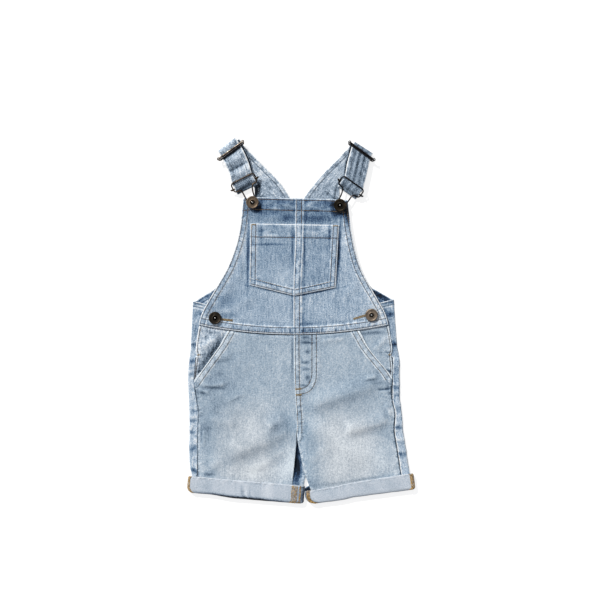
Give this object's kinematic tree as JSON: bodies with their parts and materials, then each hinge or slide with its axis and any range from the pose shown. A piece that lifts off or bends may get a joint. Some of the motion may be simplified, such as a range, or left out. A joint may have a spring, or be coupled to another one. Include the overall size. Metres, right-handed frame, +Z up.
{
  "type": "short denim dungarees",
  "caption": "Child's short bib dungarees in washed denim, laid flat, with over-the-shoulder straps, wire buckles on shank buttons, a bib pocket, slanted hip pockets and turned-up hems.",
  "frame": {"origin": "on the surface that the garment lies on, under the middle of its bounding box", "axes": "+Z up out of the front, +Y from the hems to the shoulders, +X to the right as seen from above"},
  "size_m": [0.3089, 0.4938, 0.0111],
  "materials": {
    "denim": "washed light blue denim, three by one twill",
    "denim_reverse": "paler reverse of the same denim",
    "antique_brass": "dark antique plating, satin"
  },
  "bodies": {
    "root": {"back_leg_left": "denim", "back_leg_right": "denim", "back_bib": "denim", "pocket_facing_left": "denim", "pocket_facing_right": "denim", "front_leg_left": "denim", "front_leg_right": "denim", "bib_left": "denim", "bib_right": "denim", "bib_pocket_left": "denim", "bib_pocket_right": "denim", "cuff_left": "denim_reverse", "cuff_right": "denim_reverse", "strap_left": "denim", "strap_right": "denim", "slide_left": "antique_brass", "slide_right": "antique_brass", "buckle_left": "antique_brass", "buckle_right": "antique_brass", "button_bib_left": "antique_brass", "button_bib_right": "antique_brass", "button_side_left": "antique_brass", "button_side_right": "antique_brass"}
  },
  "joints": []
}
